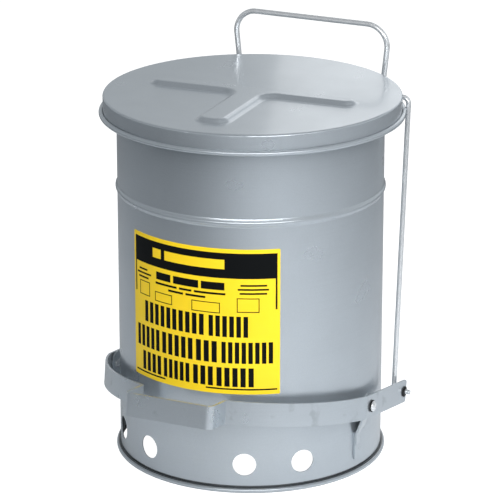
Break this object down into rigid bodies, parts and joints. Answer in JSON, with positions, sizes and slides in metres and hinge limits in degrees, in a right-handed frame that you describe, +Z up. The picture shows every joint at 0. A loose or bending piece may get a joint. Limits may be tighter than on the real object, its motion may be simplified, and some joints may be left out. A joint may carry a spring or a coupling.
{
  "type": "oily waste safety can",
  "caption": "Round sheet-steel safety can for oily waste, with a vented raised base, a hinged lid, a foot pedal strap, a link rod and a rear wire carrying handle.",
  "frame": {"origin": "on the floor, midway between the front of the pedal and the back of the lid; the can's own axis is 10 mm behind it", "axes": "+Z up, -Y to the front where the foot pad is, +X to the side that has the link rod"},
  "size_m": [0.3334, 0.3625, 0.453],
  "materials": {
    "enamel": "semi-gloss silver-grey enamel",
    "zinc": "bright zinc plate",
    "black_nut": "black phosphate spring steel",
    "label": "yellow and black vinyl"
  },
  "bodies": {
    "can": {"can_body": "enamel", "base_rim_wire": "zinc", "top_rim_wire": "zinc", "raised_bottom": "enamel", "label": "label", "hinge_bracket": "enamel", "hinge_bracket_rivets": "zinc", "hinge_pin": "zinc", "hinge_pin_nut": "black_nut", "carry_handle": "zinc", "handle_clip_left": "enamel", "handle_clip_right": "enamel", "handle_clip_rivets": "zinc", "pivot_bracket_left": "enamel", "pivot_bracket_right": "enamel", "pivot_rivet_left": "zinc", "pivot_rivet_right": "zinc", "pivot_washer_left": "black_nut", "pivot_washer_right": "black_nut", "pivot_spacer_left": "zinc", "pivot_spacer_right": "zinc"},
    "lid": {"lid_shell": "enamel", "lid_rim_wire": "zinc", "hinge_leaf": "enamel", "hinge_leaf_rivets": "zinc"},
    "pedal": {"pedal_strap": "enamel"},
    "rod": {"link_rod": "zinc", "rod_foot_nut": "black_nut", "rod_head_nut": "black_nut"}
  },
  "joints": [
    {"name": "lid_hinge", "type": "hinge", "parent": "can", "child": "lid", "pos_m": [0, 0.163, 0.376], "axis": [-1, 0, 0], "range_deg": [0, 32]},
    {"name": "pedal_pivot", "type": "hinge", "parent": "can", "child": "pedal", "pos_m": [0, -0.018, 0.0786], "axis": [1, 0, 0], "range_deg": [0, 23.6]},
    {"name": "rod_foot", "type": "hinge", "parent": "pedal", "child": "rod", "pos_m": [0.159, 0.0665, 0.06597], "axis": [1, 0, 0], "range_deg": [-27.35, 0]}
  ],
  "couplings": [
    {"joint": "pedal_pivot", "follows": "lid_hinge", "ratio": 0.7345},
    {"joint": "rod_foot", "follows": "lid_hinge", "ratio": -0.8517}
  ]
}
